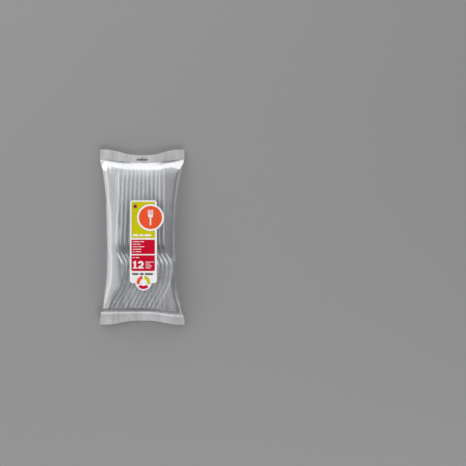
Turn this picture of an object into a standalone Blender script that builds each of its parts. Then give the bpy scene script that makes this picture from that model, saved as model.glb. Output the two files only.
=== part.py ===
"""Sealed film pack of twelve clear moulded forks, lying on its back, front face up, top seal towards +Y."""

import math

import bmesh
import bpy
import numpy as np

MM = 0.001

# Film bag: a pillow pack of thin film with a crimped seal band at each end.
PACK_LENGTH = 225.0 * MM  # ear to ear
PACK_WIDTH = 108.5 * MM  # across the seal bands
FILM = 0.06 * MM
ROOF_HEAD = 26.9 * MM  # top of the bag over the fork heads
ROOF_HANDLE = 16.4 * MM  # top of the bag over the handle ends
ROOF_KNEE_Y = -40.0 * MM  # the roof starts to slope down here
ROOF_END_Y = 93.0 * MM
SECTION_POWER = 8.0  # how boxy the section across the pack is
BACK_POWER = 10.0
LAP_HALF = 5.0 * MM  # half width of the lap seam down the back
LAP_STEP = 0.15 * MM
CORNER_WELD = 0.4 * MM  # the inside's corners end this far short of the side folds
FLAT_SHARE = 0.02  # share of the back's lift that is pressed flat

# Side outlines: distance of the side fold from the middle, as waist + flare * (distance / span) ** power.
SIDES = {
    -1: {"waist": 47.1 * MM, "at": -15 * MM, "up": (115 * MM, 3.5), "down": (92 * MM, 2.0)},
    1: {"waist": 43.2 * MM, "at": -25 * MM, "up": (125 * MM, 3.0), "down": (80 * MM, 2.7)},
}

# Seal bands. The middle of each is drawn in towards the contents and droops; its ears lie flat.
BANDS = {
    "top": {
        "inner_y": (95.2 * MM, 99.6 * MM, 99.6 * MM),  # middle, left ear, right ear
        "outer_y": (105.4 * MM, PACK_LENGTH / 2, PACK_LENGTH / 2),
        "inner_z": (8.6 * MM, 4.8 * MM),  # middle, ears
        "outer_z": (1.6 * MM, 3.6 * MM),
        "power": 9.0,
        "back_power": 8.0,
    },
    "bottom": {
        "inner_y": (-96.4 * MM, -97.1 * MM, -101.0 * MM),
        "outer_y": (-107.4 * MM, -PACK_LENGTH / 2, -PACK_LENGTH / 2),
        "inner_z": (10.8 * MM, 6.0 * MM),
        "outer_z": (4.4 * MM, 5.2 * MM),
        "power": 13.0,
        "back_power": 8.0,
    },
}
EAR_START = 0.15  # share of the half width where a band starts to bend out to its ear
EAR_END = 0.85
SIDE_FOLD_Z = 10.0 * MM  # height of the side folds halfway along

# Hang slot in the top band, and the vent hole in the back.
SLOT_WIDTH = 14.2 * MM
SLOT_HEIGHT = 2.6 * MM
SLOT_BUMP = (2.5 * MM, 1.3 * MM)
SLOT_Y = 99.3 * MM
VENT_RADIUS = 0.75 * MM
VENT_AT = (22.0 * MM, 62.0 * MM)

# Forks. A fork is drawn with its length along -Y from the handle end, its width along Z, and its depth
# along X, with the hollow side facing -X.
FORK_COUNT = 12
FORK_PITCH = 5.18 * MM
FORK_END_Y = 88.5 * MM
LAST_FORK_X = 24.6 * MM
FORK_END_Z = 9.6 * MM
FORK_TILT = math.radians(1.6)  # the narrow handle end lies lower than the head
FORK_FAN = math.radians(2.6)  # turn of the first fork; the last one stands straight
WEB = 1.3 * MM
RIM = 0.5 * MM
TINE_ROOT = 138.8 * MM
TINE_ARC = 1.6 * MM  # length of the rounded root of each slot

# Stations along the fork, from the handle end: distance, value, in millimetres.
BACK_LINE = [(0, 0), (100, 0), (108, 2.6), (114, 6.4), (119, 9.8), (125, 11.8), (140, 10.5), (154, 6.2),
             (168, -1.8), (179, -8)]
HALF_WIDTH = [(0, 3.4), (3, 4.4), (10, 5.4), (35, 6.7), (70, 6.5), (97, 5.2), (106, 5.6), (114, 9.2),
              (121, 11.6), (128, 12.0), (140, 11.8), (165, 11.0), (175, 10.4), (179, 9.5)]
WALL_DEPTH = [(0, 1.8), (3, 2.6), (35, 4.2), (92, 4.2), (104, 2.2), (112, 1.7), (150, 1.7), (175, 1.3), (179, 0.9)]
DISH = [(100, 0), (108, 0.6), (119, 2.4), (128, 3.0), (140, 2.4), (179, 0.8)]
TINE_WIDTH = [(138, 4.2), (160, 3.4), (175, 2.3), (179, 1.1)]
FORK_ROWS = (0, 3, 10, 35, 70, 92, 101, 108, 114, 120, 128, 138.8, 140.4, 154, 168, 175, 179)

# Columns across a fork: three lines for each tine, with a slot between tines. In the handle and the bowl the
# two lines beside each slot are one line.
HANDLE_COLUMNS = (-1.0, -0.86, -0.8, -0.4, 0.0, 0.4, 0.8, 0.86, 1.0)
LINES_PER_TINE = 3
TINES = 4

MATERIALS = {
    "film": {"colour": (0.90, 0.91, 0.92, 1.0), "roughness": 0.18, "alpha": 0.35},
    "fork_plastic": {"colour": (0.86, 0.88, 0.91, 1.0), "roughness": 0.06, "alpha": 0.55},
}


def clear_scene():
    for obj in list(bpy.data.objects):
        bpy.data.objects.remove(obj, do_unlink=True)


def material(name):
    look = MATERIALS[name]
    mat = bpy.data.materials.new(name)
    mat.use_nodes = True
    shader = mat.node_tree.nodes["Principled BSDF"]
    shader.inputs["Base Color"].default_value = look["colour"]
    shader.inputs["Roughness"].default_value = look["roughness"]
    shader.inputs["Metallic"].default_value = 0.0
    shader.inputs["Alpha"].default_value = look["alpha"]
    return mat


def smooth(low, high, x):
    t = np.clip((x - low) / (high - low), 0, 1)
    return t * t * (3 - 2 * t)


def along(stations, distance):
    """Value at a distance in metres, straight between the stations."""
    places, values = np.array(stations, float).T * MM
    return np.interp(distance, places, values)


def rounded(x, power):
    """Quarter superellipse: 1 in the middle, 0 at x = +-1."""
    return (1 - np.clip(np.abs(x), 0, 1) ** power) ** (1 / power)


# Film bag


def side_fold(side, y):
    fold = SIDES[side]
    flare = PACK_WIDTH / 2 - fold["waist"]
    share = np.where(
        y > fold["at"],
        np.clip((y - fold["at"]) / fold["up"][0], 0, 1) ** fold["up"][1],
        np.clip((fold["at"] - y) / fold["down"][0], 0, 1) ** fold["down"][1],
    )
    return side * (fold["waist"] + flare * share)


def ear(s):
    return smooth(EAR_START, EAR_END, np.abs(s))


def band_y(band, edge, s):
    middle, left, right = BANDS[band][edge]
    tip = np.where(s < 0, left, right)
    return middle + (tip - middle) * ear(s)


def band_z(band, edge, s):
    middle, tip = BANDS[band][edge]
    return middle + (tip - middle) * ear(s)


def roof(y):
    return np.interp(y, (ROOF_KNEE_Y, ROOF_END_Y), (ROOF_HEAD, ROOF_HANDLE))


def across():
    """Shares of the half width, closer together towards the side folds."""
    t = np.linspace(-1, 1, 17)
    return np.sign(t) * (1 - (1 - np.abs(t)) ** 2.2)


def lengthwise():
    """Shares of the body's length from the bottom seal to the top one, closer together at the ends."""
    t = np.linspace(-1, 1, 19)
    return 0.5 + 0.5 * np.sign(t) * (1 - (1 - np.abs(t)) ** 1.8)


def body_rows():
    """Front and back sheets of the body, each an array of rows by columns by xyz."""
    s, v = np.meshgrid(across(), lengthwise())
    y = (1 - v) * band_y("bottom", "inner_y", s) + v * band_y("top", "inner_y", s)
    low, high = side_fold(-1, y), side_fold(1, y)
    x = (low + high) / 2 + s * (high - low) / 2
    x, y, s, v = with_lap_columns(x, y, s, v)
    end = np.where(v < 0.5, band_z("bottom", "inner_z", s), band_z("top", "inner_z", s))
    q = np.abs(2 * v - 1)
    fold = end + (SIDE_FOLD_Z - end) * rounded(q, 3)
    power = np.where(v < 0.5, BANDS["bottom"]["power"], BANDS["top"]["power"])
    back_power = np.where(v < 0.5, BANDS["bottom"]["back_power"], BANDS["top"]["back_power"])
    rise = rounded(s, SECTION_POWER) * (1 - q**power) ** (1 / power)
    drop = rounded(s, BACK_POWER) * (1 - q**back_power) ** (1 / back_power)
    lift = np.clip((1 - drop) - FLAT_SHARE, 0, None) / (1 - FLAT_SHARE)
    floor = 2 * FILM
    front = np.stack([x, y, fold + (roof(y) - fold) * rise + FILM], axis=-1)
    back = np.stack([x, y, floor + (fold - floor) * lift - FILM * lift], axis=-1)
    return front, back


def with_lap_columns(x, y, s, v):
    """Adds the columns at the edges of the lap seam, each edge as a pair that makes its step."""
    grids = [x, y, s, v]
    for place in (-LAP_HALF - LAP_STEP, -LAP_HALF, LAP_HALF, LAP_HALF + LAP_STEP):
        x = grids[0]
        before = int((x[x.shape[0] // 2] < place).sum())
        left, right = x[:, before - 1], x[:, before]
        share = (place - left) / (right - left)
        grids = [
            np.insert(g, before, g[:, before - 1] * (1 - share) + g[:, before] * share, axis=1)
            for g in grids
        ]
    return grids


def band_rows(body, band, rows=3):
    """Sheet positions of one seal band outside the body, halfway through its thickness."""
    edge = body[0 if band == "bottom" else -1]
    low, high = side_fold(-1, edge[:, 1]), side_fold(1, edge[:, 1])
    s = (edge[:, 0] - (low + high) / 2) / ((high - low) / 2)
    out = []
    for share in np.linspace(0, 1, rows)[1:]:
        y = (1 - share) * edge[:, 1] + share * band_y(band, "outer_y", s)
        low, high = side_fold(-1, y), side_fold(1, y)
        x = (low + high) / 2 + s * (high - low) / 2
        lap = np.abs(edge[:, 0]) <= LAP_HALF + 2 * LAP_STEP
        x = np.where(lap, edge[:, 0], x)
        z = (1 - share) * band_z(band, "inner_z", s) + share * band_z(band, "outer_z", s)
        out.append(np.stack([x, y, z], axis=-1))
    return np.array(out if band == "top" else out[::-1])


def sheet_normals(sheet):
    along_x = np.gradient(sheet, axis=1)
    along_y = np.gradient(sheet, axis=0)
    normal = np.cross(along_x, along_y)
    return normal / np.linalg.norm(normal, axis=-1, keepdims=True)


def closed_faces(front, back):
    """Faces of the closed box between a front and a back sheet, pointing out. Vertices run front, then back.

    Every sheet is split along the same diagonals, so thin walls stay parallel.
    """
    rows, columns = front.shape[:2]
    index = np.arange(rows * columns).reshape(rows, columns)
    lower = np.stack([index[:-1, :-1], index[:-1, 1:], index[1:, 1:]], axis=-1).reshape(-1, 3)
    upper = np.stack([index[:-1, :-1], index[1:, 1:], index[1:, :-1]], axis=-1).reshape(-1, 3)
    sheet = np.concatenate([lower, upper])
    under = index + rows * columns
    faces = sheet.tolist() + (sheet[:, ::-1] + rows * columns).tolist()
    rim = list(index[0]) + list(index[1:, -1]) + list(index[-1, -2::-1]) + list(index[-2:0:-1, 0])
    below = list(under[0]) + list(under[1:, -1]) + list(under[-1, -2::-1]) + list(under[-2:0:-1, 0])
    for i in range(len(rim)):
        j = (i + 1) % len(rim)
        faces.append([int(rim[j]), int(rim[i]), int(below[i]), int(below[j])])
    return faces


def film_bag(mat):
    front, back = body_rows()
    bottom, top = band_rows(front, "bottom"), band_rows(front, "top")
    half = np.array([0, 0, FILM])
    outer_front = np.concatenate([bottom + half, front, top + half])
    outer_back = np.concatenate([bottom - half, back, top - half])
    lap = np.abs(outer_back[..., 0]) <= LAP_HALF + LAP_STEP / 2
    inner_front = front - FILM * sheet_normals(front)
    inner_back = back + FILM * sheet_normals(back)
    outer_back[..., 2] -= np.where(lap, 2 * FILM, 0)
    for row, band in ((0, "bottom"), (-1, "top")):
        middle = (front[row] + back[row]) / 2
        middle[[0, -1], 0] -= np.array([-CORNER_WELD, CORNER_WELD])
        inner_front[row] = middle + half / 5
        inner_back[row] = middle - half / 5
    points = np.concatenate([g.reshape(-1, 3) for g in (outer_front, outer_back, inner_front, inner_back)])
    faces = closed_faces(outer_front, outer_back)
    start = 2 * outer_front.shape[0] * outer_front.shape[1]
    faces += [[i + start for i in face[::-1]] for face in closed_faces(inner_front, inner_back)]
    bag = mesh_object("film_bag", points, faces, mat)
    cut(bag, slot_cutter())
    cut(bag, vent_cutter())
    return bag


def slot_outline():
    """Rounded slot with a small bump in the middle of its upper edge."""
    r = SLOT_HEIGHT / 2
    x = SLOT_WIDTH / 2 - r
    right = [(x + r * math.cos(a), r * math.sin(a)) for a in np.linspace(-math.pi / 2, math.pi / 2, 7)]
    bump_width, bump_height = SLOT_BUMP
    turns = np.linspace(0, math.pi, 7)
    bump = [(bump_width / 2 * math.cos(a), r + bump_height * math.sin(a)) for a in turns]
    left = [(-px, -py) for px, py in right]
    return right + bump + left


def slot_cutter():
    return prism("slot_cutter", slot_outline(), (0, SLOT_Y), -5 * MM, 20 * MM)


def vent_cutter():
    ring = [(VENT_RADIUS * math.cos(a), VENT_RADIUS * math.sin(a)) for a in np.linspace(0, 2 * math.pi, 13)[:-1]]
    return prism("vent_cutter", ring, VENT_AT, -1 * MM, 1 * MM)


def prism(name, outline, at, low, high):
    bm = bmesh.new()
    base = bm.faces.new([bm.verts.new((x + at[0], y + at[1], low)) for x, y in outline])
    raised = bmesh.ops.extrude_face_region(bm, geom=[base])
    moved = [v for v in raised["geom"] if isinstance(v, bmesh.types.BMVert)]
    bmesh.ops.translate(bm, verts=moved, vec=(0, 0, high - low))
    bmesh.ops.recalc_face_normals(bm, faces=bm.faces)
    mesh = bpy.data.meshes.new(name)
    bm.to_mesh(mesh)
    bm.free()
    cutter = bpy.data.objects.new(name, mesh)
    bpy.context.scene.collection.objects.link(cutter)
    cutter.hide_render = True
    cutter.display_type = "WIRE"
    return cutter


def cut(obj, cutter):
    modifier = obj.modifiers.new(cutter.name, "BOOLEAN")
    modifier.operation = "DIFFERENCE"
    modifier.solver = "EXACT"
    modifier.object = cutter


# Forks


def tine_lines(distance):
    """Places across the fork of every tine's three lines, in metres."""
    half, width = along(HALF_WIDTH, distance), along(TINE_WIDTH, distance)
    opening = math.sqrt(max(0.0, 1 - max(0.0, 1 - (distance - TINE_ROOT) / TINE_ARC) ** 2))
    centres = np.linspace(-1, 1, TINES) * (half - width / 2)
    gap = (centres[1] - centres[0] - width) * (1 - opening) / 2
    lines = []
    for number, centre in enumerate(centres):
        low = centre - width / 2 - (gap if number > 0 else 0)
        high = centre + width / 2 + (gap if number < TINES - 1 else 0)
        lines += [low, (low + high) / 2, high]
    return np.array(lines)


def columns_at(distance):
    """Places across the fork at one distance. Up to the roots the handle's lines turn into the tines' lines."""
    tines = tine_lines(max(distance, TINE_ROOT))
    if distance > TINE_ROOT:
        return tines
    half = along(HALF_WIDTH, distance)
    joined = np.delete(tines, [2, 5, 8]) * half / along(HALF_WIDTH, TINE_ROOT)
    blend = smooth(95 * MM, TINE_ROOT, distance)
    merged = (1 - blend) * np.array(HANDLE_COLUMNS) * half + blend * joined
    return np.insert(merged, [2, 4, 6], merged[[2, 4, 6]])


def fork_sheets():
    """Hollow side and back of a fork as rows by columns by xyz."""
    hollow, back = [], []
    for distance in np.array(FORK_ROWS) * MM:
        across_fork = columns_at(distance)
        half = along(HALF_WIDTH, distance)
        depth = along(WALL_DEPTH, distance)
        wall = along(WALL_DEPTH, 50 * MM)
        dish = along(DISH, distance) * (1 - (across_fork / half) ** 2)
        behind = wall + along(BACK_LINE, distance) + dish - along(DISH, distance)
        handle = 1 - smooth(92 * MM, 112 * MM, distance)
        share = np.abs(across_fork / half)
        web = handle * (share < 0.83) * (depth - WEB)
        top = behind - depth - handle * RIM * (share > 0.83)
        y = np.full(len(across_fork), -distance)
        hollow.append(np.stack([top, y, across_fork], axis=-1))
        back.append(np.stack([behind - web, y, across_fork], axis=-1))
    return np.array(hollow), np.array(back)


def fork_mesh(mat):
    """Closed solid between the two sheets: the slots' faces are left out and the open edges are walled."""
    hollow, back = fork_sheets()
    rows, columns = hollow.shape[:2]
    index = np.arange(rows * columns).reshape(rows, columns)
    at_root = FORK_ROWS.index(TINE_ROOT / MM)
    for right in range(LINES_PER_TINE, columns, LINES_PER_TINE):
        index[: at_root + 1, right] = index[: at_root + 1, right - 1]
    faces = []
    for row in range(rows - 1):
        for column in range(columns - 1):
            slot = column % LINES_PER_TINE == LINES_PER_TINE - 1
            if not slot:
                faces.append([index[row, column], index[row, column + 1], index[row + 1, column + 1],
                              index[row + 1, column]])
    count = rows * columns
    under = [[i + count for i in face[::-1]] for face in faces]
    edges = {(face[i], face[(i + 1) % 4]) for face in faces for i in range(4)}
    walls = [[b, a, a + count, b + count] for a, b in edges if (b, a) not in edges]
    points = np.concatenate([hollow.reshape(-1, 3), back.reshape(-1, 3)])
    bm = bmesh.new()
    verts = [bm.verts.new(p) for p in points]
    for face in faces + under + sorted(walls):
        bm.faces.new([verts[i] for i in face])
    loose = [v for v in bm.verts if not v.link_faces]
    bmesh.ops.delete(bm, geom=loose, context="VERTS")
    bmesh.ops.recalc_face_normals(bm, faces=bm.faces)
    mesh = bpy.data.meshes.new("fork")
    bm.to_mesh(mesh)
    bm.free()
    mesh.materials.append(mat)
    shade(mesh)
    return mesh


def forks(mat):
    mesh = fork_mesh(mat)
    for number in range(FORK_COUNT):
        from_last = FORK_COUNT - 1 - number
        fork = bpy.data.objects.new(f"fork_{number + 1:02d}", mesh)
        bpy.context.scene.collection.objects.link(fork)
        fork.location = (LAST_FORK_X - FORK_PITCH * from_last, FORK_END_Y, FORK_END_Z)
        fork.rotation_euler = (-FORK_TILT, 0, -FORK_FAN * from_last / (FORK_COUNT - 1))


def shade(mesh):
    mesh.shade_smooth()
    mesh.set_sharp_from_angle(angle=math.radians(35))


def mesh_object(name, points, faces, mat):
    mesh = bpy.data.meshes.new(name)
    mesh.from_pydata([tuple(p) for p in points], [], faces)
    mesh.validate()
    mesh.materials.append(mat)
    shade(mesh)
    obj = bpy.data.objects.new(name, mesh)
    bpy.context.scene.collection.objects.link(obj)
    return obj


clear_scene()
film_bag(material("film"))
forks(material("fork_plastic"))
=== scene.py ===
import math

import bpy
import bmesh
import numpy as np
from mathutils import Matrix, Vector


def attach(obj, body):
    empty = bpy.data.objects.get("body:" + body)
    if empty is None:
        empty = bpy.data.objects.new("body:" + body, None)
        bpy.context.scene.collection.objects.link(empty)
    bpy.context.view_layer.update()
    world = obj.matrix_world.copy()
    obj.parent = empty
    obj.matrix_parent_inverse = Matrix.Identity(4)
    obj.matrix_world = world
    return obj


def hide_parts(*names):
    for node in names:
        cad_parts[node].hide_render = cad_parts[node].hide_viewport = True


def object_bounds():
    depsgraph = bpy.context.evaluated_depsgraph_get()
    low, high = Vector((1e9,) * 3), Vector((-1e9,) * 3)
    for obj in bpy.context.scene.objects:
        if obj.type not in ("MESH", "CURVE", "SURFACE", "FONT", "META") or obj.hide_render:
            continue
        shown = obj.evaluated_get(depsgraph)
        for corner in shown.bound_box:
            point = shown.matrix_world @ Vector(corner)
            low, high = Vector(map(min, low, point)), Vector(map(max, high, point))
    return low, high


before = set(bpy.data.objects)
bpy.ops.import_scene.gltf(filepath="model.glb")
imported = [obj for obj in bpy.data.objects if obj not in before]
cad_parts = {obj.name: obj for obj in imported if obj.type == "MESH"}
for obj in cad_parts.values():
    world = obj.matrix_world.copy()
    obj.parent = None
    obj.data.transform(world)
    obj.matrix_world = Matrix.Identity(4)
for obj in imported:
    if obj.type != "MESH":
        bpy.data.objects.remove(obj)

mm = 0.001
cadLow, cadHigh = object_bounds()


def smoothStep(low, high, x):
    t = np.clip((x - low) / (high - low), 0, 1)
    return t * t * (3 - 2 * t)


def throughStations(stations, at):
    # cubic curve through the stations, never overshooting; its slope at each is the mean slope on both sides
    x, y = np.array(stations, float).T * mm
    step = np.diff(y) / np.diff(x)
    slope = np.concatenate([[step[0]], (step[1:] + step[:-1]) / 2, [step[-1]]])
    turns = np.concatenate([[False], step[1:] * step[:-1] <= 0, [False]])
    slope[turns] = 0
    at = np.clip(at, x[0], x[-1])
    i = np.clip(np.searchsorted(x, at, side="right") - 1, 0, len(x) - 2)
    h = x[i + 1] - x[i]
    t = (at - x[i]) / h
    return ((2 * t**3 - 3 * t**2 + 1) * y[i] + (t**3 - 2 * t**2 + t) * h * slope[i]
            + (3 * t**2 - 2 * t**3) * y[i + 1] + (t**3 - t**2) * h * slope[i + 1])


def rounded(x, power):
    # quarter superellipse: 1 in the middle, 0 at x = 1
    return (1 - np.clip(np.abs(x), 0, 1) ** power) ** (1 / power)


def meshPiece(name, points, faces, materials, smooth=True):
    mesh = bpy.data.meshes.new(name)
    mesh.from_pydata(points.reshape(-1, 3).tolist(), [], faces)
    for material in materials:
        mesh.materials.append(material)
    mesh.polygons.foreach_set("use_smooth", np.full(len(mesh.polygons), smooth))
    mesh.update()
    piece = bpy.data.objects.new(name, mesh)
    bpy.context.scene.collection.objects.link(piece)
    return piece


def gridQuads(rows, columns, start=0, flip=False):
    index = np.arange(rows * columns).reshape(rows, columns) + start
    corners = [index[:-1, :-1], index[:-1, 1:], index[1:, 1:], index[1:, :-1]]
    quads = np.stack(corners, axis=-1).reshape(-1, 4)
    return quads[:, ::-1] if flip else quads


def nodeTree(material):
    material.use_nodes = True
    tree = material.node_tree
    tree.nodes.clear()
    return tree


def addNode(tree, kind, **settings):
    node = tree.nodes.new(kind)
    for key, value in settings.items():
        if key.startswith("in_"):
            node.inputs[key[3:].replace("_", " ")].default_value = value
        else:
            setattr(node, key, value)
    return node


def feed(tree, socket, value):
    # a value is either a plain one or the socket it comes from
    if isinstance(value, bpy.types.NodeSocket):
        tree.links.new(value, socket)
    else:
        socket.default_value = value


def mathOf(tree, operation, *values):
    node = addNode(tree, "ShaderNodeMath", operation=operation)
    for socket, value in zip(node.inputs, values):
        feed(tree, socket, value)
    return node.outputs[0]


def rangeOf(tree, value, to, start=(0.0, 1.0)):
    node = addNode(tree, "ShaderNodeMapRange")
    for key, number in zip(("Value", "From Min", "From Max", "To Min", "To Max"), (value, *start, *to)):
        feed(tree, node.inputs[key], number)
    return node.outputs[0]


def mixedColour(tree, share, first, second):
    node = addNode(tree, "ShaderNodeMix", data_type="RGBA")
    for key, value in (("Factor", share), ("A", first), ("B", second)):
        feed(tree, node.inputs[key], value)
    return node.outputs["Result"]


def bumpNormal(tree, height, strength, depth):
    node = addNode(tree, "ShaderNodeBump", in_Strength=strength, in_Distance=depth)
    tree.links.new(height, node.inputs["Height"])
    return node.outputs[0]


def squeezed(tree, vector, scales):
    node = addNode(tree, "ShaderNodeVectorMath", operation="MULTIPLY")
    node.inputs[1].default_value = scales
    tree.links.new(vector, node.inputs[0])
    return node.outputs[0]


def attribute(tree, name):
    return addNode(tree, "ShaderNodeAttribute", attribute_name=name).outputs["Fac"]


def objectPlace(tree):
    return addNode(tree, "ShaderNodeTexCoord").outputs["Object"]


def mixToSurface(tree, share, first, second):
    mix = addNode(tree, "ShaderNodeMixShader")
    for socket, value in zip(mix.inputs, (share, first, second)):
        tree.links.new(value, socket)
    out = addNode(tree, "ShaderNodeOutputMaterial")
    tree.links.new(mix.outputs[0], out.inputs["Surface"])


def rippleGroup():
    # height of fine film ripples: stretched noise for the pull of the film, plus a quarter of small dents
    group = bpy.data.node_groups.new("filmRipple", "ShaderNodeTree")
    face = group.interface
    face.new_socket("Vector", in_out="INPUT", socket_type="NodeSocketVector")
    for name, scale in (("Stretch Scale", 60.0), ("Dent Scale", 220.0)):
        face.new_socket(name, in_out="INPUT", socket_type="NodeSocketFloat").default_value = scale
    for name in ("Height", "Haze"):
        face.new_socket(name, in_out="OUTPUT", socket_type="NodeSocketFloat")
    source = group.nodes.new("NodeGroupInput")
    out = group.nodes.new("NodeGroupOutput")
    pull = addNode(group, "ShaderNodeTexNoise", in_Detail=3.0, in_Roughness=0.5)
    dent = addNode(group, "ShaderNodeTexNoise", in_Detail=4.0, in_Roughness=0.6)
    link = group.links.new
    link(squeezed(group, source.outputs["Vector"], (1.0, 0.22, 0.6)), pull.inputs["Vector"])
    link(source.outputs["Vector"], dent.inputs["Vector"])
    link(source.outputs["Stretch Scale"], pull.inputs["Scale"])
    link(source.outputs["Dent Scale"], dent.inputs["Scale"])
    height = mathOf(group, "MULTIPLY_ADD", dent.outputs["Fac"], 0.25, pull.outputs["Fac"])
    link(height, out.inputs["Height"])
    link(rangeOf(group, pull.outputs["Fac"], (0.0, 1.0), (0.35, 0.7)), out.inputs["Haze"])
    return group


ripple = rippleGroup()


def rippleNode(tree, stretch, dents):
    node = addNode(tree, "ShaderNodeGroup", node_tree=ripple)
    node.inputs["Stretch Scale"].default_value = stretch
    node.inputs["Dent Scale"].default_value = dents
    tree.links.new(objectPlace(tree), node.inputs["Vector"])
    return node.outputs["Height"], node.outputs["Haze"]


filmLook = {
    "tint": (0.97, 0.98, 1.0, 1.0),
    "roughness": (0.12, 0.26),
    "haze": (0.10, 0.16),
    "index": 1.46,
    "rim": 2.6,  # how much the film closes up where it is seen edge-on
    "mostCover": 0.62,
    "ripples": (55.0, 260.0),  # scales of the pulls and the dents
    "bump": (0.25, 0.25 * mm),  # strength and depth
    "shadow": 0.3,  # thin film hardly holds back the lamps' light
}


def clearFilm():
    # cover = haze + rim * share reflected at this angle, never above the most cover
    material = bpy.data.materials.new("clearFilm")
    tree = nodeTree(material)
    link = tree.links.new
    height, haze = rippleNode(tree, *filmLook["ripples"])
    normal = bumpNormal(tree, height, *filmLook["bump"])
    gloss = addNode(tree, "ShaderNodeBsdfPrincipled", in_Base_Color=filmLook["tint"], in_Metallic=1.0)
    link(normal, gloss.inputs["Normal"])
    link(rangeOf(tree, haze, filmLook["roughness"]), gloss.inputs["Roughness"])
    fresnel = addNode(tree, "ShaderNodeFresnel", in_IOR=filmLook["index"])
    link(normal, fresnel.inputs["Normal"])
    least = rangeOf(tree, haze, filmLook["haze"])
    cover = mathOf(tree, "MULTIPLY_ADD", fresnel.outputs[0], filmLook["rim"], least)
    cover = mathOf(tree, "MINIMUM", cover, filmLook["mostCover"])
    path = addNode(tree, "ShaderNodeLightPath")
    lamp = rangeOf(tree, path.outputs["Is Shadow Ray"], (1.0, filmLook["shadow"]))
    clear = addNode(tree, "ShaderNodeBsdfTransparent")
    mixToSurface(tree, mathOf(tree, "MULTIPLY", cover, lamp), clear.outputs[0], gloss.outputs[0])
    return material


sealLook = {
    "shades": ((0.34, 0.34, 0.345, 1), (0.42, 0.42, 0.43, 1)),
    "roughness": 0.45,
    "index": 1.5,
    "cover": (0.52, 0.66),
    # extra cover in the painted highlight strip beside the body
    "gleamCover": 0.4,
    "ribScale": 190.0,
    "ribHeight": 0.35,
    "ripples": (90.0, 420.0),
    "bump": (0.35, 0.2 * mm),
}


def sealedFilm():
    # crimped film: milky, with fine ribs along the pack, with a painted highlight (whiter and more solid) in
    # the bottom seal's strip beside the body
    material = bpy.data.materials.new("sealedFilm")
    tree = nodeTree(material)
    link = tree.links.new
    ribs = addNode(tree, "ShaderNodeTexWave", wave_type="BANDS", bands_direction="Y",
                   in_Scale=sealLook["ribScale"], in_Distortion=0.6, in_Detail=1.0)
    link(objectPlace(tree), ribs.inputs["Vector"])
    height, haze = rippleNode(tree, *sealLook["ripples"])
    height = mathOf(tree, "MULTIPLY_ADD", ribs.outputs["Fac"], sealLook["ribHeight"], height)
    # painted highlight: the sealEdge mask whitens the bottom seal's strip beside the body and makes it more
    # solid
    paintedGleam = attribute(tree, "sealEdge")
    milk = addNode(tree, "ShaderNodeBsdfPrincipled", in_Roughness=sealLook["roughness"],
                   in_IOR=sealLook["index"])
    shade = mixedColour(tree, paintedGleam, mixedColour(tree, haze, *sealLook["shades"]), (1, 1, 1, 1))
    link(shade, milk.inputs["Base Color"])
    link(bumpNormal(tree, height, *sealLook["bump"]), milk.inputs["Normal"])
    cover = rangeOf(tree, haze, sealLook["cover"])
    cover = mathOf(tree, "MULTIPLY_ADD", paintedGleam, sealLook["gleamCover"], cover)
    clear = addNode(tree, "ShaderNodeBsdfTransparent")
    mixToSurface(tree, cover, clear.outputs[0], milk.outputs[0])
    return material


styrene = {
    "lines": [(0.0, 0.7), (0.10, 0.28), (0.68, 0.38), (0.83, 1.0), (1.0, 1.0)],  # painted shade across a fork's edge: dark along the rims and slots in place of refraction lines, the back lighter than the hollow
    "tint": (0.97, 0.985, 1.0),
    "streakScale": 160.0,
    "streakDark": 0.72,
    "transmission": 0.68,
    "index": 1.58,
    "waveScale": 95.0,
    "roughness": (0.04, 0.14),
    "bump": (0.3, 0.5 * mm),
    "shadow": (0.95, 0.955, 0.965, 1),
}


def clearStyrene():
    # moulded clear plastic: sharp refraction, faint flow waviness, lets the lamps' light through; its colour
    # has painted shade along the edges and a painted highlight at the necks
    material = bpy.data.materials.new("clearStyrene")
    tree = nodeTree(material)
    link = tree.links.new
    place = objectPlace(tree)
    waves = addNode(tree, "ShaderNodeTexNoise", in_Scale=styrene["waveScale"], in_Detail=2.0)
    link(place, waves.inputs["Vector"])
    lines = addNode(tree, "ShaderNodeValToRGB")
    ramp = lines.color_ramp
    for at, shade in styrene["lines"][1:-1]:
        ramp.elements.new(at)
    for element, (at, shade) in zip(ramp.elements, styrene["lines"]):
        element.position = at
        element.color = (*[shade * c for c in styrene["tint"]], 1)
    # painted shade: the edge ramp darkens the plastic along its rims and slots
    link(rangeOf(tree, attribute(tree, "overEdge"), (0.0, 1.0), (-1.0, 1.0)), lines.inputs["Fac"])
    streaks = addNode(tree, "ShaderNodeTexNoise", in_Scale=styrene["streakScale"], in_Detail=2.0)
    link(squeezed(tree, place, (1.0, 0.2, 1.0)), streaks.inputs["Vector"])
    flow = rangeOf(tree, streaks.outputs["Fac"], (styrene["streakDark"], 1.0), (0.3, 0.7))
    # the base colour carries the painted edge shade and the painted neck highlight
    tint = addNode(tree, "ShaderNodeVectorMath", operation="SCALE")
    link(lines.outputs["Color"], tint.inputs[0])
    link(mathOf(tree, "MULTIPLY", flow, attribute(tree, "gleam")), tint.inputs["Scale"])
    body = addNode(tree, "ShaderNodeBsdfPrincipled", in_IOR=styrene["index"])
    body.inputs["Transmission Weight"].default_value = styrene["transmission"]
    link(tint.outputs[0], body.inputs["Base Color"])
    link(rangeOf(tree, waves.outputs["Fac"], styrene["roughness"]), body.inputs["Roughness"])
    link(bumpNormal(tree, waves.outputs["Fac"], *styrene["bump"]), body.inputs["Normal"])
    path = addNode(tree, "ShaderNodeLightPath")
    through = addNode(tree, "ShaderNodeBsdfTransparent")
    through.inputs[0].default_value = styrene["shadow"]
    mixToSurface(tree, path.outputs["Is Shadow Ray"], body.outputs[0], through.outputs[0])
    return material


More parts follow.
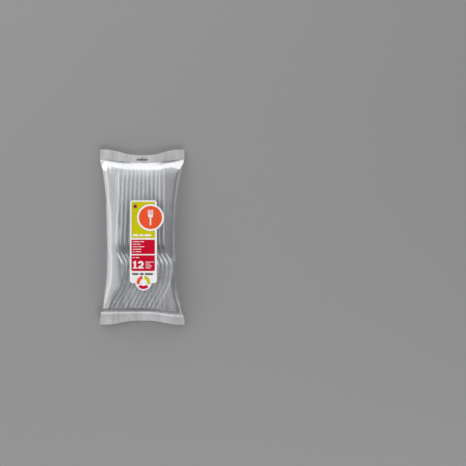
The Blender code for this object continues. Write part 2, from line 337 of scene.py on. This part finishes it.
inks = {
    "inkWhite": (0.51, 0.50, 0.51),
    "inkLime": (0.34, 0.32, 0.002),
    "inkOrange": (0.49, 0.055, 0.014),
    "inkCrimson": (0.33, 0.001, 0.013),
    "inkPlum": (0.16, 0.004, 0.03),
    "inkGrey": (0.07, 0.07, 0.075),
}

inkLook = {"mottle": (0.93, 1.05), "ripples": (60.0, 900.0), "bump": (0.12, 0.15 * mm), "roughness": 0.45,
           "specular": 0.06}


def ink(name):
    # printed ink: slight density mottling, and the film's own ripples under it
    material = bpy.data.materials.new(name)
    tree = nodeTree(material)
    link = tree.links.new
    height, haze = rippleNode(tree, *inkLook["ripples"])
    shades = [(*[c * share for c in inks[name]], 1) for share in inkLook["mottle"]]
    body = addNode(tree, "ShaderNodeBsdfPrincipled", in_Roughness=inkLook["roughness"])
    body.inputs["Specular IOR Level"].default_value = inkLook["specular"]
    link(mixedColour(tree, haze, *shades), body.inputs["Base Color"])
    link(bumpNormal(tree, height, *inkLook["bump"]), body.inputs["Normal"])
    out = addNode(tree, "ShaderNodeOutputMaterial")
    link(body.outputs[0], out.inputs["Surface"])
    return material


def inkOf(name):
    return bpy.data.materials.get(name) or ink(name)


bag = {
    "length": cadHigh.y - cadLow.y,
    "width": cadHigh.x - cadLow.x,
    "film": 0.06 * mm,
    "roofHead": 26.7 * mm,  # height over the fork heads
    "roofHandle": 16.6 * mm,  # height over the handle ends
    "kneeY": -50.0 * mm,
    "roofEndY": 93.0 * mm,
    "kneeSoft": 4.0 * mm,
    # from where to where the roof falls over the tines, how far, and how softly it starts
    "roofTines": (-50 * mm, -93 * mm, 1.2 * mm, 2 * mm),
    "roofBulge": 1.8 * mm,  # how far the film tents over the handles halfway along them
    "foldZ": 10.0 * mm,  # height of the side folds halfway along
    "sectionPower": {  # boxiness of each side at places along the pack
        -1: ((-88 * mm, 6.5), (-62 * mm, 3.4), (95 * mm, 3.0)),
        1: ((-45 * mm, 8.0), (45 * mm, 6.5), (95 * mm, 5.0)),
    },
    "cornerReach": 14.0 * mm,  # how far from both the side and the seal the upper corners sink
    "cornerSink": 0.8,
    "backPower": 10.0,
    "flatShare": 0.02,
    "lapHalf": 5.0 * mm,
    "lapEdge": 0.25 * mm,
    "sealEdge": 2.8 * mm,  # strip of the bottom seal beside the body that gets the painted highlight
    "sealGleam": 0.3,  # how much whiter that strip is painted, as a painted highlight
    "earStart": 0.15,
    "earEnd": 0.85,
    "columns": (220, 2.2),  # how many, and how strongly they crowd towards the sides
    "bodyRows": (300, 1.8),
    "bandRows": 14,
    "bandWave": 0.15 * mm,
}

# side fold's distance from the middle: waist + flare * (distance / span) ** power
sideFolds = {
    -1: {"waist": 47.1 * mm, "at": -15 * mm, "up": (115 * mm, 3.5), "down": (92 * mm, 2.0)},
    1: {"waist": 43.2 * mm, "at": -25 * mm, "up": (125 * mm, 3.0), "down": (80 * mm, 2.7)},
}

# seal bands: values for the middle, the left ear and the right ear
bands = {
    "top": {
        "innerY": (95.2 * mm, 99.6 * mm, 99.6 * mm),
        "outerY": (105.4 * mm, bag["length"] / 2, bag["length"] / 2),
        "innerZ": (10.2 * mm, 5.2 * mm, 5.2 * mm),
        "outerZ": (5.4 * mm, 4.0 * mm, 4.0 * mm),
        "shoulder": (25 * mm, 29 * mm, 25 * mm),  # length of the slope from the seal up to the roof
        "ease": 3.0,  # above 1 rounds the slope's upper end
        "backPower": 8.0,
        "wavePhase": 2.0,
    },
    "bottom": {
        "innerY": (-96.4 * mm, -97.1 * mm, -101.0 * mm),
        "outerY": (-107.4 * mm, -bag["length"] / 2, -bag["length"] / 2),
        "innerZ": (10.8 * mm, 6.0 * mm, 6.0 * mm),
        "outerZ": (4.4 * mm, 5.2 * mm, 5.2 * mm),
        "shoulder": (8.5 * mm, 8.5 * mm, 8.5 * mm),
        "ease": 4.5,
        "backPower": 8.0,
        "wavePhase": 0.5,
    },
}

hangSlot = {"width": 14.2 * mm, "height": 2.6 * mm, "bump": (2.5 * mm, 1.3 * mm), "y": 99.3 * mm,
            "cut": (-5 * mm, 20 * mm)}


def sideFold(side, y):
    fold = sideFolds[side]
    flare = bag["width"] / 2 - fold["waist"]
    up = np.clip((y - fold["at"]) / fold["up"][0], 0, 1) ** fold["up"][1]
    down = np.clip((fold["at"] - y) / fold["down"][0], 0, 1) ** fold["down"][1]
    return side * (fold["waist"] + flare * (up + down))


def shareAcross(x, y):
    low, high = sideFold(-1, y), sideFold(1, y)
    return (x - (low + high) / 2) / ((high - low) / 2)


def bandValue(band, edge, s):
    middle, left, right = bands[band][edge]
    ear = smoothStep(bag["earStart"], bag["earEnd"], np.abs(s))
    return middle + (np.where(s < 0, left, right) - middle) * ear


def roof(y):
    # flat over the heads, then a straight slope, with a soft knee between them
    slope = (bag["roofHead"] - bag["roofHandle"]) / (bag["roofEndY"] - bag["kneeY"])
    past = bag["kneeSoft"] * np.logaddexp(0, (y - bag["kneeY"]) / bag["kneeSoft"])
    share = np.clip((y - bag["kneeY"]) / (bag["roofEndY"] - bag["kneeY"]), 0, 1)
    start, end, drop, soft = bag["roofTines"]
    overTines = drop * np.logaddexp(0, (start - y) / soft) * soft / (start - end)
    return bag["roofHead"] - slope * past - overTines + bag["roofBulge"] * np.sin(math.pi * share)


def bodyShares(x, y):
    s = np.clip(shareAcross(x, y), -1, 1)
    low, high = bandValue("bottom", "innerY", s), bandValue("top", "innerY", s)
    return s, np.clip((y - low) / (high - low), 0, 1)


folds = {
    "span": 195 * mm,
    "topPucker": (9 * mm, 760, 0.28 * mm),  # reach, waves, height
    "bottomPucker": (11 * mm, 690, 0.32 * mm),
    "slack": (148, 0.22 * mm),  # waves, height
    "edgePull": (0.10, 210, 0.35 * mm),  # reach as a share of half the width, waves, height
    "calmSide": 0.93,
    "calmEnd": 0.015,
}


def wrinkles(x, y, s, v):
    # puckers that run from each seal into the body and die out, pulls towards the corners, and slack waves
    phase = 6 * np.sin(x * 61 + 1.3) + 2.5 * np.sin(x * 173)
    reach, waves, height = folds["topPucker"]
    total = np.exp(-(1 - v) * folds["span"] / reach) * np.sin(x * waves + phase) * height
    reach, waves, height = folds["bottomPucker"]
    total = total + np.exp(-v * folds["span"] / reach) * np.sin(x * waves - phase * 1.2) * height
    waves, height = folds["slack"]
    total = total + height * np.sin(x * waves + 5 * np.sin(y * 19)) * np.sin(y * 33 + x * 21)
    reach, waves, height = folds["edgePull"]
    total = total + np.exp(-(1 - np.abs(s)) / reach) * np.sin(y * waves + 4 * np.sin(y * 37)) * height
    ends = smoothStep(0.0, folds["calmEnd"], v) * smoothStep(1.0, 1 - folds["calmEnd"], v)
    return total * smoothStep(1.0, folds["calmSide"], np.abs(s)) * ends


def foldHeight(s, v):
    end = np.where(v < 0.5, bandValue("bottom", "innerZ", s), bandValue("top", "innerZ", s))
    return end + (bag["foldZ"] - end) * rounded(2 * v - 1, 3)


def frontHeight(x, y):
    s, v = bodyShares(x, y)
    fold = foldHeight(s, v)
    length = bandValue("top", "innerY", s) - bandValue("bottom", "innerY", s)
    rise = 1.0
    for side, stations in bag["sectionPower"].items():
        power = np.interp(y, *zip(*stations))
        rise = rise * np.where(s * side > 0, rounded(s, power), 1)
    for name, share in (("top", 1 - v), ("bottom", v)):
        reach = bandValue(name, "shoulder", s)
        rise = rise * (1 - np.clip(1 - share * length / reach, 0, 1) ** bands[name]["ease"])
    nearSide = smoothStep(bag["cornerReach"], 0, (1 - np.abs(s)) * bag["width"] / 2)
    nearTop = smoothStep(bag["cornerReach"], 0, (1 - v) * length)
    rise = rise * (1 - bag["cornerSink"] * nearSide * nearTop)
    return fold + (roof(y) - fold) * rise + bag["film"] + wrinkles(x, y, s, v)


def backHeight(x, y):
    s, v = bodyShares(x, y)
    q = np.abs(2 * v - 1)
    power = bands["top"]["backPower"]
    drop = rounded(s, bag["backPower"]) * (1 - q ** power) ** (1 / power)
    lift = np.clip(1 - drop - bag["flatShare"], 0, None) / (1 - bag["flatShare"])
    base = 2 * bag["film"]
    return base + (foldHeight(s, v) - base) * lift - bag["film"] * lift


def crowded(count, power):
    # shares from 0 to 1, closer together towards both ends
    t = np.linspace(-1, 1, count)
    return 0.5 + 0.5 * np.sign(t) * (1 - (1 - np.abs(t)) ** power)


def bandSheet(name, s):
    # one seal band halfway through its thickness, from the body outwards, with its own gentle wave
    band = bands[name]
    share = np.linspace(0, 1, bag["bandRows"])[:, None]
    y = (1 - share) * bandValue(name, "innerY", s) + share * bandValue(name, "outerY", s)
    low, high = sideFold(-1, y), sideFold(1, y)
    x = (low + high) / 2 + s * (high - low) / 2
    z = (1 - share) * bandValue(name, "innerZ", s) + share * bandValue(name, "outerZ", s)
    wave = bag["bandWave"] * np.sin(s * 9 + band["wavePhase"]) * np.sin(share * math.pi)
    return np.stack([x, y, z + wave], axis=-1)


def filmBag():
    s = 2 * crowded(*bag["columns"]) - 1
    v = crowded(*bag["bodyRows"])[:, None]
    y = (1 - v) * bandValue("bottom", "innerY", s) + v * bandValue("top", "innerY", s)
    low, high = sideFold(-1, y), sideFold(1, y)
    x = (low + high) / 2 + s * (high - low) / 2
    front = np.stack([x, y, frontHeight(x, y)], axis=-1)
    back = np.stack([x, y, backHeight(x, y)], axis=-1)
    top, bottom = bandSheet("top", s)[1:], bandSheet("bottom", s)[:0:-1]
    half = np.array([0, 0, bag["film"]])
    front = np.concatenate([bottom + half, front, top + half])
    back = np.concatenate([bottom - half, back, top - half])
    rows, columns = front.shape[:2]
    lap = smoothStep(bag["lapHalf"] + bag["lapEdge"], bag["lapHalf"], np.abs(back[..., 0]))
    back[..., 2] -= 2 * bag["film"] * lap
    faces = [gridQuads(rows, columns), gridQuads(rows, columns, rows * columns, flip=True)]
    index = np.arange(rows * columns).reshape(rows, columns)
    rim = np.concatenate([index[0], index[1:, -1], index[-1, -2::-1], index[-2:0:-1, 0]])
    after = np.roll(rim, -1)
    faces.append(np.stack([after, rim, rim + rows * columns, after + rows * columns], axis=-1))
    faces = np.concatenate(faces)
    points = np.stack([front, back])
    piece = meshPiece("filmWrap", points, faces.tolist(), [clearFilm(), sealedFilm()])
    # sealEdge mask: a painted highlight, whitest at the bottom seal's inner edge and fading out over the
    # strip
    inBand = bag["bandRows"] - 1
    away = np.abs(front[:inBand + 1, :, 1] - front[inBand, :, 1])
    sealEdge = np.zeros((2, rows, columns))
    sealEdge[:, :inBand + 1] = bag["sealGleam"] * smoothStep(bag["sealEdge"], 0, away)
    piece.data.attributes.new("sealEdge", "FLOAT", "POINT").data.foreach_set("value", sealEdge.ravel())
    rowOf = (faces.min(axis=1) % (rows * columns)) // columns
    sealed = (rowOf < inBand) | (rowOf >= rows - 1 - inBand)
    piece.data.polygons.foreach_set("material_index", sealed.astype(np.int32))
    return piece


def slotCutter():
    r = hangSlot["height"] / 2
    turn = np.linspace(-math.pi / 2, math.pi / 2, 17)
    right = np.stack([hangSlot["width"] / 2 - r + r * np.cos(turn), r * np.sin(turn)], axis=-1)
    turn = np.linspace(0, math.pi, 15)
    bumpWidth, bumpHeight = hangSlot["bump"]
    bump = np.stack([bumpWidth / 2 * np.cos(turn), r + bumpHeight * np.sin(turn)], axis=-1)
    left = right * -1
    outline = np.concatenate([right, bump, left]) + np.array([0, hangSlot["y"]])
    count = len(outline)
    points = np.concatenate([np.c_[outline, np.full(count, z)] for z in hangSlot["cut"]])
    ring = np.arange(count)
    after = np.roll(ring, -1)
    faces = [ring[::-1].tolist(), (ring + count).tolist()]
    faces += np.stack([ring, after, after + count, ring + count], axis=-1).tolist()
    return meshPiece("slotCutter", points, faces, [], smooth=False)


def punchSlot(piece):
    cutter = slotCutter()
    modifier = piece.modifiers.new("slot", "BOOLEAN")
    modifier.operation = "DIFFERENCE"
    modifier.solver = "EXACT"
    modifier.object = cutter
    graph = bpy.context.evaluated_depsgraph_get()
    mesh = bpy.data.meshes.new_from_object(piece.evaluated_get(graph))
    piece.modifiers.clear()
    piece.data = mesh
    bpy.data.objects.remove(cutter, do_unlink=True)


forks = {
    "count": 12,
    "pitch": 5.18 * mm,
    "endY": 88.5 * mm,
    "lastX": 24.6 * mm,
    "endZ": 9.6 * mm,
    "tilt": math.radians(1.6),
    "fan": math.radians(2.6),
    "web": 1.3 * mm,
    "rim": 0.5 * mm,
    "rimShares": (0.80, 0.86, 0.88),  # web ends, web starts, rim is full, as shares of the half width
    "length": 179 * mm,
    "handleEnd": (92 * mm, 112 * mm),
    "headStart": (95 * mm, 134 * mm),
    "headDim": (118 * mm, 142 * mm, 0.55),  # painted shade: the thin heads' edges gleam less than the handle's rims
    "tineRoot": 138.8 * mm,
    "slotArc": 1.6 * mm,
    "edgeRadius": 0.55 * mm,
    "rows": 150,
    "shuffle": 0.16 * mm,  # how far a fork may sit off its even place
    # stations along the fork from its handle end: distance, value, in millimetres
    "backLine": [(0, 0), (60, 0), (100, 0), (108, 2.6), (114, 6.4), (119, 9.8), (125, 11.8), (140, 10.5),
                 (154, 6.2), (168, -1.8), (179, -8)],
    "halfWidth": [(0, 3.4), (3, 4.4), (10, 5.4), (35, 6.7), (70, 6.5), (97, 5.2), (106, 5.6), (114, 9.2),
                  (121, 11.6), (128, 12.0), (140, 11.8), (165, 11.0), (175, 10.4), (179, 9.5)],
    "depth": [(0, 1.8), (3, 2.6), (35, 4.2), (92, 4.2), (104, 2.2), (112, 1.7), (150, 1.7), (175, 1.3),
              (179, 0.9)],
    "dish": [(0, 0), (100, 0), (108, 0.6), (119, 2.4), (128, 3.0), (140, 2.4), (179, 0.8)],
    # painted highlight and shade along the fork: darker just before the neck, much brighter at the neck
    # bend, brighter over the head
    "gleam": [(0, 0.95), (97, 0.95), (102, 0.4), (107, 0.4), (112, 2.2), (119, 2.2), (124, 1.4), (137, 1.3),
              (142, 1.35), (179, 1.35)],
    "tineWidth": [(138, 4.2), (160, 3.4), (175, 2.3), (179, 1.1)],
}

rng = np.random.default_rng(12)


def forkColumns(distance):
    # places of the lines across a fork at every distance: nine to a tine, the slots closed up to the roots
    half = throughStations(forks["halfWidth"], distance)[:, None]
    width = throughStations(forks["tineWidth"], distance)[:, None]
    past = (distance[:, None] - forks["tineRoot"]) / forks["slotArc"]
    opening = np.sqrt(np.clip(1 - np.clip(1 - past, 0, 1) ** 2, 0, 1))
    tine = np.linspace(-1, 1, 4)
    centre = tine * (half - width / 2)
    gap = (2 / 3 * (half - width / 2) - width) * (1 - opening) / 2
    low = centre - width / 2 - gap * (tine > -1)
    high = centre + width / 2 + gap * (tine < 1)
    inTine = crowded(9, 1.7)
    lines = low[..., None] + (high - low)[..., None] * inTine
    lines = lines.reshape(len(distance), -1)
    handle = 2 * crowded(lines.shape[1], 1.5) - 1
    handle[9::9] = handle[8:-1:9] = (handle[9::9] + handle[8:-1:9]) / 2
    blend = smoothStep(*forks["headStart"], distance)[:, None]
    return lines * blend + handle * half * (1 - blend), half


def forkSheets():
    length, radius = forks["length"], forks["edgeRadius"]
    arc = forks["tineRoot"] + forks["slotArc"] * np.array([0.0, 0.04, 0.15, 0.35, 0.65, 1.0])
    rounding = radius * np.array([0.0, 0.12, 0.45, 1.0])
    even = np.linspace(1 * mm, length - 1 * mm, forks["rows"])
    distance = np.unique(np.concatenate([even, arc, length - rounding, rounding]))
    across, half = forkColumns(distance)
    d = distance[:, None]
    depth = throughStations(forks["depth"], d)
    dish = throughStations(forks["dish"], d)
    back = throughStations(forks["depth"], np.array(50 * mm)) + throughStations(forks["backLine"], d)
    share = np.abs(across / half)
    handle = 1 - smoothStep(*forks["handleEnd"], d)
    webEnd, webStart, rimFull = forks["rimShares"]
    behind = back - dish * share**2
    web = handle * smoothStep(webStart, webEnd, share) * np.clip(depth - forks["web"], 0, None)
    rim = handle * forks["rim"] * smoothStep(webEnd, rimFull, share)
    low, high = behind - depth - rim, behind - web
    # distance from the outline: the side, both ends, and the slots with their roots
    edge = np.minimum(half - np.abs(across), np.minimum(d, length - d))
    rootAway = np.clip(forks["tineRoot"] - d, 0, None)
    for number in range(3):
        left, right = across[:, 9 * number + 8][:, None], across[:, 9 * number + 9][:, None]
        beside = np.where(across <= (left + right) / 2, left - across, across - right)
        away = np.hypot(np.clip(beside, 0, None), rootAway)
        edge = np.minimum(edge, away)
    full = np.sqrt(np.clip(1 - (1 - np.clip(edge / radius, 0, 1)) ** 2, 0, 1))
    middle, thick = (low + high) / 2, (high - low) / 2 * full
    y = np.broadcast_to(-d, across.shape)
    hollow = np.stack([middle - thick, y, across], axis=-1)
    behindSheet = np.stack([middle + thick, y, across], axis=-1)
    gleam = np.broadcast_to(throughStations(forks["gleam"], d) / mm, across.shape)
    dimStart, dimEnd, dim = forks["headDim"]
    full = full * (1 - dim * smoothStep(dimStart, dimEnd, d))
    return hollow, behindSheet, full, gleam


def forkShape():
    hollow, behind, full, gleam = forkSheets()
    rows, columns = hollow.shape[:2]
    quads = gridQuads(rows, columns)
    column = quads[:, 0] % columns
    quads = quads[column % 9 != 8]
    points = np.concatenate([hollow.reshape(-1, 3), behind.reshape(-1, 3)])
    faces = np.concatenate([quads, quads[:, ::-1] + rows * columns])
    bm = bmesh.new()
    # from -1 on the hollow side over 0 on the rim's crest to 1 on the back, read by the plastic's material
    # for its painted edge shade
    overEdge = bm.verts.layers.float.new("overEdge")
    gleamAt = bm.verts.layers.float.new("gleam")
    verts = [bm.verts.new(p) for p in points]
    values, shines = np.concatenate([-full.ravel(), full.ravel()]), np.tile(gleam.ravel(), 2)
    for vert, value, shine in zip(verts, values, shines):
        vert[overEdge] = value
        vert[gleamAt] = shine
    for face in faces:
        bm.faces.new([verts[i] for i in face])
    bmesh.ops.remove_doubles(bm, verts=bm.verts, dist=0.004 * mm)
    loose = [v for v in bm.verts if not v.link_faces]
    bmesh.ops.delete(bm, geom=loose, context="VERTS")
    bmesh.ops.recalc_face_normals(bm, faces=bm.faces)
    openEdges = sum(1 for e in bm.edges if len(e.link_faces) != 2)
    print("fork shape:", len(bm.faces), "faces,", openEdges, "open edges")
    mesh = bpy.data.meshes.new("forkShape")
    bm.to_mesh(mesh)
    bm.free()
    return mesh


def placeForks(material):
    shape = forkShape()
    local = np.empty(len(shape.vertices) * 3)
    shape.vertices.foreach_get("co", local)
    local = local.reshape(-1, 3)
    for number in range(forks["count"]):
        fromLast = forks["count"] - 1 - number
        node = f"fork_{number + 1:02d}"
        tilt, turn = -forks["tilt"], -forks["fan"] * fromLast / (forks["count"] - 1)
        turned = np.array(Matrix.Rotation(turn, 3, "Z") @ Matrix.Rotation(tilt, 3, "X"))
        aside = rng.uniform(-1, 1) * forks["shuffle"]
        place = np.array([forks["lastX"] - forks["pitch"] * fromLast + aside, forks["endY"], forks["endZ"]])
        mesh = shape.copy()
        mesh.name = f"clearFork{number + 1:02d}"
        points = local @ turned.T + place
        mesh.vertices.foreach_set("co", points.ravel())
        mesh.materials.append(material)
        mesh.polygons.foreach_set("use_smooth", np.ones(len(mesh.polygons), bool))
        mesh.update()
        piece = bpy.data.objects.new(mesh.name, mesh)
        bpy.context.scene.collection.objects.link(piece)
        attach(piece, "root")
        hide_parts(node)
    bpy.data.meshes.remove(shape)


label = {
    "x": 2.3 * mm,  # middle of the white strip
    "top": 47.0 * mm,
    "bottom": -58.8 * mm,
    "half": 17.3 * mm,
    "corner": 4.0 * mm,
    "inkStep": 0.05 * mm,
    "inkLift": 0.07 * mm,
    "panelAside": -0.3 * mm,
    "panelHalf": 15.0 * mm,
    # ink, height of the middle, half height, corner radius, which ends are rounded
    "panels": [("inkLime", 21.9 * mm, 23.2 * mm, 2.2 * mm, (0, 1)),
               ("inkCrimson", -12.5 * mm, 9.2 * mm, 0, (0, 0)),
               ("inkCrimson", -33.3 * mm, 10.1 * mm, 2.4 * mm, (1, 0))],
    "badge": (11.3 * mm, 25.0 * mm),
    "badgeRadius": 14.8 * mm,
    "badgeRim": 2.3 * mm,
    "signSize": 10.5 * mm,
    "emblem": (2.4 * mm, -57.8 * mm),
    "emblemRadii": (4.5 * mm, 8.6 * mm, 10.4 * mm),
    "dot": (-8.3 * mm, 39.2 * mm, 2.3 * mm),
    "textLeft": -11.3 * mm,
    # lines of words, in millimetres: left end, height, dash lengths, half height, gap
    "words": [
        (-11.3, 2.4, (7.5, 5, 9), 1.15, 1.1),
        (-11.3, -5.9, (9, 4.5), 0.40, 0.9),
        (-11.3, -9.1, (4, 5), 0.40, 0.9),
        (-11.3, -12.3, (6, 8), 0.40, 0.9),
        (-11.3, -15.5, (11,), 0.40, 0.9),
        (-11.3, -18.7, (3, 7), 0.40, 0.9),
        (-11.3, -26.2, (2.5, 4.5), 0.42, 1.2),
        (4.9, -31.9, (11,), 0.38, 1),
        (4.9, -34.4, (6,), 0.38, 1),
        (4.9, -36.9, (8.5,), 0.38, 1),
        (4.9, -39.4, (7,), 0.38, 1),
    ],
    "greyWords": (-12.2, -47.2, (8.5, 5.5, 10.5), 1.25, 1.2),
    "numeralLow": -40.2 * mm,
    "numeralHeight": 9.6 * mm,
}


# flat patches of one ink, laid on the film's front
class inkPatches:
    def __init__(self, inkName, name, layer):
        self.inkName, self.name, self.layer = inkName, name, layer
        self.points, self.faces, self.count = [], [], 0

    def add(self, x, y):
        z = frontHeight(x, y) + label["inkLift"] + label["inkStep"] * self.layer
        grid = np.stack([x, y, z], axis=-1)
        self.faces.append(gridQuads(*x.shape, self.count))
        self.points.append(grid.reshape(-1, 3))
        self.count += x.size

    def strip(self, x, y, halfWidth, halfHeight, corner=0.0, corners=(1, 1)):
        # rectangle whose half width shrinks in a quarter circle at the rounded ends, bottom and top
        u = np.linspace(-1, 1, max(3, int(halfWidth / (0.5 * mm))))
        v = crowded(max(4, int(halfHeight / (0.3 * mm))), 1.6)[:, None] * 2 - 1
        fromEnd = (1 - np.abs(v)) * halfHeight
        flag = np.where(v < 0, corners[0], corners[1])
        bite = np.clip(1 - fromEnd / max(corner, 1e-6), 0, 1) * flag
        width = halfWidth - corner * (1 - np.sqrt(1 - bite**2))
        self.add(x + u * width, y + v * halfHeight + 0 * u)

    def sector(self, x, y, inner, outer, start, end):
        a = np.radians(np.linspace(start, end, max(6, int(abs(end - start) / 4))))[:, None]
        r = np.linspace(inner, outer, 9)
        self.add(x + r * np.cos(a), y + r * np.sin(a))

    def stroke(self, path, half):
        # a line of even width along a path of points
        path = np.array(path)
        along = np.gradient(path, axis=0)
        along /= np.linalg.norm(along, axis=1, keepdims=True)
        side = np.stack([-along[:, 1], along[:, 0]], axis=-1) * half
        t = np.linspace(1, -1, 4)[None, :, None]
        grid = path[:, None] + side[:, None] * t
        self.add(grid[..., 0], grid[..., 1])

    def finish(self):
        faces = np.concatenate(self.faces)
        points = np.concatenate(self.points)
        a, b, c = (points[faces[:, i]] for i in range(3))
        down = np.cross(b - a, c - b)[:, 2] < 0
        faces[down] = faces[down][:, ::-1]
        piece = meshPiece(self.name, points, faces.tolist(), [inkOf(self.inkName)])
        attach(piece, "root")
        return piece


def forkSign(white, x, y, size):
    # plain fork figure, tines up
    white.strip(x, y - 0.52 * size, 0.09 * size, 0.48 * size, 0.08 * size)
    white.strip(x, y + 0.12 * size, 0.30 * size, 0.16 * size, 0.14 * size, (1, 0))
    for number in range(4):
        aside = (number - 1.5) * 0.172 * size
        white.strip(x + aside, y + 0.56 * size, 0.05 * size, 0.34 * size, 0.05 * size, (0, 1))


def dashLine(patches, start, y, dashes, halfHeight, gap):
    # plain dashes where a line of words would be, in millimetres
    x = start
    for length in dashes:
        middle, half = (x + length / 2) * mm, length / 2 * mm
        patches.strip(middle, y * mm, half, halfHeight * mm, halfHeight * 0.8 * mm)
        x += length + gap


def numeralOne(patches, left, low, height, half):
    stem, top = left + 2.9 * mm, low + height
    patches.strip(stem, low + height / 2, half, height / 2)
    patches.stroke([(stem + half * 0.4, top - 0.5 * mm), (left + 0.5 * mm, top - 2.3 * mm)], 0.75 * mm)
    patches.strip(stem, low + 0.75 * mm, 2.7 * mm, 0.75 * mm)


def numeralTwo(patches, left, low, height, half):
    radius = 2.55 * mm
    middle = (left + 3.6 * mm, low + height - radius - half * 0.95)
    turn = np.radians(np.linspace(165, -38, 26))
    bow = np.stack([middle[0] + radius * np.cos(turn), middle[1] + radius * np.sin(turn)], axis=-1)
    foot = np.array([left + 1.1 * mm, low + 1.1 * mm])
    share = np.linspace(0, 1, 12)[1:, None]
    patches.stroke(np.concatenate([bow, bow[-1] * (1 - share) + foot * share]), half)
    patches.strip(left + 3.65 * mm, low + 0.8 * mm, 3.6 * mm, 0.8 * mm)


def printFront():
    x, left, top, bottom = (label[key] for key in ("x", "textLeft", "top", "bottom"))
    badge, emblem = label["badge"], label["emblem"]
    inner, outer, ground = label["emblemRadii"]
    base = inkPatches("inkWhite", "printGround", 1)
    base.strip(x, (top + bottom) / 2, label["half"], (top - bottom) / 2, label["corner"])
    colours = {name: inkPatches(name, "print" + name[3:], 2) for name in ("inkLime", "inkCrimson")}
    for name, y, halfHeight, corner, corners in label["panels"]:
        colours[name].strip(x + label["panelAside"], y, label["panelHalf"], halfHeight, corner, corners)
    rings = inkPatches("inkWhite", "printRings", 3)
    rings.sector(*badge, 0, label["badgeRadius"] + label["badgeRim"], 0, 360)
    rings.sector(*emblem, 0, ground, 0, 360)
    orange = inkPatches("inkOrange", "printOrange", 4)
    orange.sector(*badge, 0, label["badgeRadius"], 0, 360)
    for patches, start in ((orange, 100), (colours["inkLime"], -20), (colours["inkCrimson"], 220)):
        patches.layer = 4
        patches.sector(*emblem, inner, outer, start, start + 100)
    marks = inkPatches("inkWhite", "printMarks", 5)
    forkSign(marks, badge[0], badge[1] + 0.6 * mm, label["signSize"])
    marks.layer = 3
    for line in label["words"]:
        dashLine(marks, *line)
    low, height = label["numeralLow"], label["numeralHeight"]
    numeralOne(marks, left, low, height, 1.25 * mm)
    numeralTwo(marks, left + 6.6 * mm, low, height, 1.2 * mm)
    grey = inkPatches("inkGrey", "printGrey", 4)
    dashLine(grey, *label["greyWords"])
    plum = inkPatches("inkPlum", "printPlum", 4)
    plum.sector(*label["dot"][:2], 0, label["dot"][2], 0, 360)
    for patches in (base, *colours.values(), rings, orange, marks, grey, plum):
        patches.finish()


studio = {
    "floorColour": (0.172, 0.172, 0.174, 1.0),
    "floorDrop": 0.3 * mm,
    "skyColour": (0.80, 0.82, 0.86),
    "skyStrength": 0.24,
    "cameraHeight": 3.0,
    "cameraLens": 180.0,
    "cameraAside": (116.7 * mm, 5.2 * mm),  # the pack lies left of the middle of the view
    "exposure": -0.12,
    "notReflected": ("boxLow",),  # lights the seal at the near end without a gleam on the film above it
    "boxes": [  # name, place, size, watts
        ("boxTop", (0.0, 1.42, 0.74), (2.4, 0.66), 19),
        ("boxRim", (0.0, 1.5, 0.24), (2.4, 0.40), 7),
        ("boxSlope", (0.0, 1.17, 1.40), (2.4, 0.8), 8.5),
        ("boxAbove", (0.0, 0.76, 2.1), (1.6, 0.62), 2.7),
        ("boxBelow", (0.2, -0.52, 2.35), (1.4, 0.7), 2.7),
        ("boxCorner", (-1.0, 1.05, 0.85), (0.7, 0.9), 5.5),
        ("boxLeft", (-1.4, 0.1, 0.80), (2.0, 1.2), 13),
        ("boxHigh", (-0.95, 0.14, 1.45), (1.6, 0.95), 6.8),
        ("boxLow", (0.5, -1.5, 0.9), (2.0, 1.0), 52),
    ],
}


def areaLight(name, place, size, power, aim=(0, 0, 0)):
    light = bpy.data.lights.new(name, "AREA")
    light.shape = "RECTANGLE"
    light.size, light.size_y = size
    light.energy = power
    lamp = bpy.data.objects.new(name, light)
    bpy.context.scene.collection.objects.link(lamp)
    lamp.visible_glossy = name not in studio["notReflected"]
    lamp.location = place
    lamp.rotation_euler = (Vector(aim) - Vector(place)).to_track_quat("-Z", "Y").to_euler()
    return lamp


def buildStudio():
    scene = bpy.context.scene
    floor = meshPiece("floor", np.array([[-4, -4, 0], [4, -4, 0], [4, 4, 0], [-4, 4, 0]], float)
                      - np.array([0, 0, studio["floorDrop"]]), [[0, 1, 2, 3]], [], smooth=False)
    paper = bpy.data.materials.new("paperFloor")
    paper.use_nodes = True
    shader = paper.node_tree.nodes["Principled BSDF"]
    shader.inputs["Base Color"].default_value = studio["floorColour"]
    shader.inputs["Roughness"].default_value = 0.9
    shader.inputs["Specular IOR Level"].default_value = 0.1
    floor.data.materials.append(paper)
    world = bpy.data.worlds.new("softSky")
    world.use_nodes = True
    sky = world.node_tree.nodes["Background"]
    sky.inputs[0].default_value = (*studio["skyColour"], 1)
    sky.inputs[1].default_value = studio["skyStrength"]
    scene.world = world
    for name, place, size, power in studio["boxes"]:
        areaLight(name, place, size, power)
    camera = bpy.data.cameras.new("camera")
    camera.lens = studio["cameraLens"]
    camera.sensor_width = 36
    camera.clip_end = 20
    eye = bpy.data.objects.new("camera", camera)
    eye.location = (*studio["cameraAside"], studio["cameraHeight"])
    scene.collection.objects.link(eye)
    scene.camera = eye
    scene.view_settings.view_transform = "Standard"
    scene.view_settings.exposure = studio["exposure"]
    scene.cycles.max_bounces = 32
    scene.cycles.transmission_bounces = 24
    scene.cycles.transparent_max_bounces = 32
    scene.cycles.caustics_refractive = False
    scene.cycles.caustics_reflective = False


buildStudio()
print("studio is up")

wrap = filmBag()
punchSlot(wrap)
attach(wrap, "root")
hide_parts("film_bag")
print("film wrap:", len(wrap.data.polygons), "faces")

placeForks(clearStyrene())
print("forks are in")

printFront()
print("print is on")
